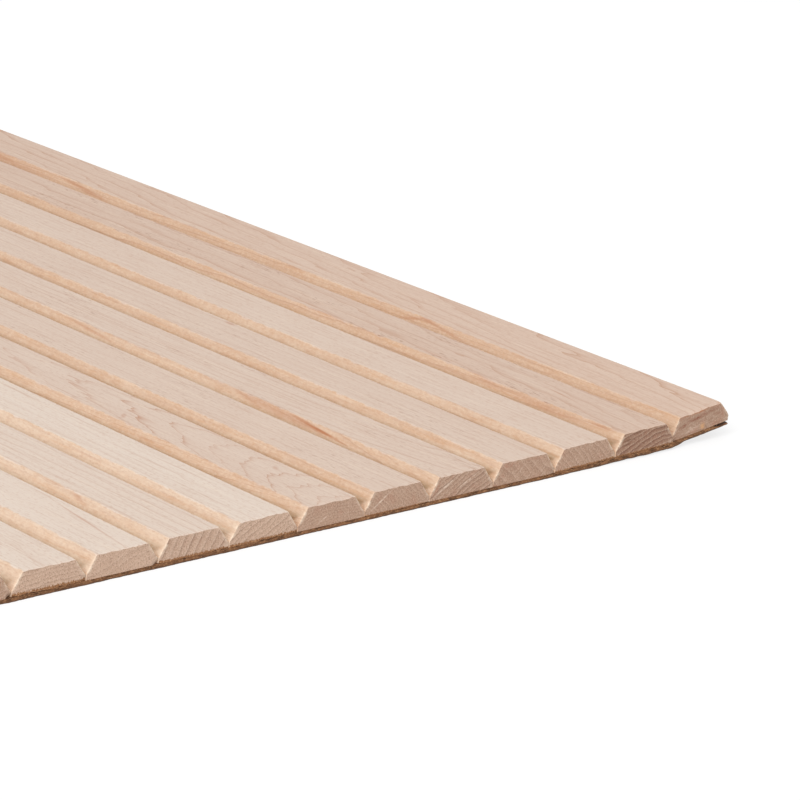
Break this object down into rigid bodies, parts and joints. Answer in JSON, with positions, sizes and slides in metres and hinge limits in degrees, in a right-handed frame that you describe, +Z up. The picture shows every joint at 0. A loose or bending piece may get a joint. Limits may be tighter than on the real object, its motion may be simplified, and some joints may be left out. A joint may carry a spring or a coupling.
{
  "type": "tambour wall panel",
  "caption": "Flat flexible wall panel of pale hardwood slats with bevelled edges, laid side by side and glued to a thin brown fibre backing sheet.",
  "frame": {"origin": "middle of the underside of the backing sheet, where the panel lies on the floor", "axes": "+X along the slats, +Y across them towards the edge that is lifted, +Z up, out of the slatted face"},
  "size_m": [1.2192, 0.6094, 0.0092],
  "materials": {
    "maple": "unfinished planed maple, matt",
    "fibre_backing": "brown fibre sheet, matt, with a rough cut edge"
  },
  "bodies": {
    "root": {"slat_01": "maple", "slat_02": "maple", "slat_03": "maple", "slat_04": "maple", "slat_05": "maple", "slat_06": "maple", "slat_07": "maple", "slat_08": "maple", "slat_09": "maple", "slat_10": "maple", "slat_11": "maple", "slat_12": "maple", "slat_13": "maple", "slat_14": "maple", "slat_15": "maple", "slat_16": "maple", "slat_17": "maple", "slat_18": "maple", "slat_19": "maple", "slat_20": "maple", "slat_21": "maple", "slat_22": "maple", "slat_23": "maple", "slat_24": "maple", "slat_25": "maple", "slat_26": "maple", "slat_27": "maple", "slat_28": "maple", "slat_29": "maple", "slat_30": "maple", "slat_31": "maple", "slat_32": "maple", "backing_sheet": "fibre_backing"}
  },
  "joints": []
}
